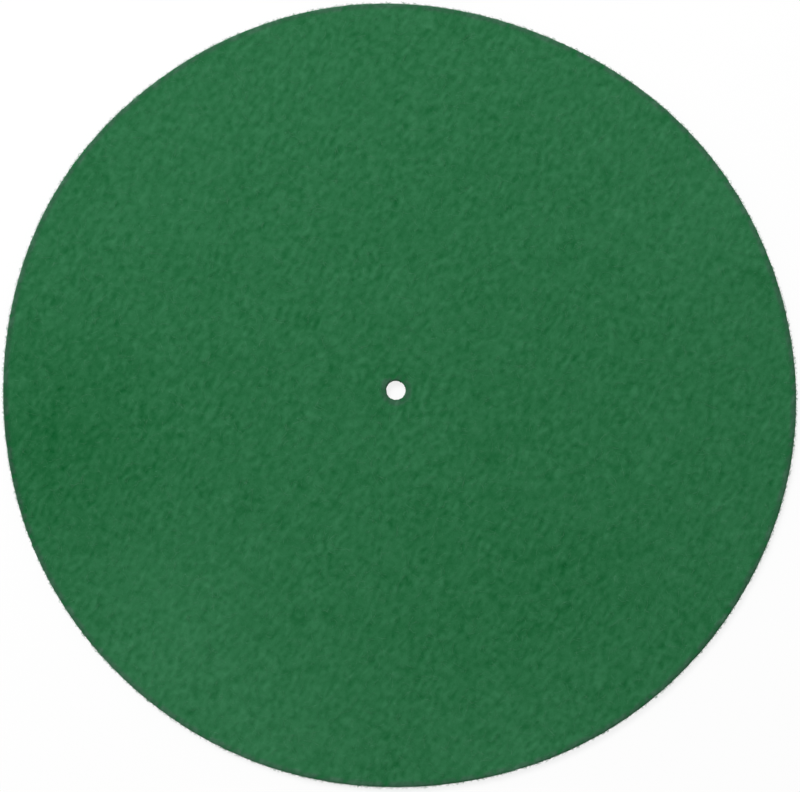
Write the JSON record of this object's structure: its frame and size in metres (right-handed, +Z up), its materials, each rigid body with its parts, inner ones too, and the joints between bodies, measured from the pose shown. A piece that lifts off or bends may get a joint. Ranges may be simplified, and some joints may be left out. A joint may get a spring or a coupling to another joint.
{
  "type": "turntable platter mat",
  "caption": "Flat round mat of thick pressed wool felt with a small hole in the middle for the spindle; it lies on a turntable's platter, under the record.",
  "frame": {"origin": "centre of the spindle hole, at the underside of the felt", "axes": "+Z up along the platter's spindle; the disc lies in X and Y"},
  "size_m": [0.295, 0.295, 0.003],
  "materials": {
    "wool_felt": "matte"
  },
  "bodies": {
    "root": {"felt_mat": "wool_felt"}
  },
  "joints": []
}
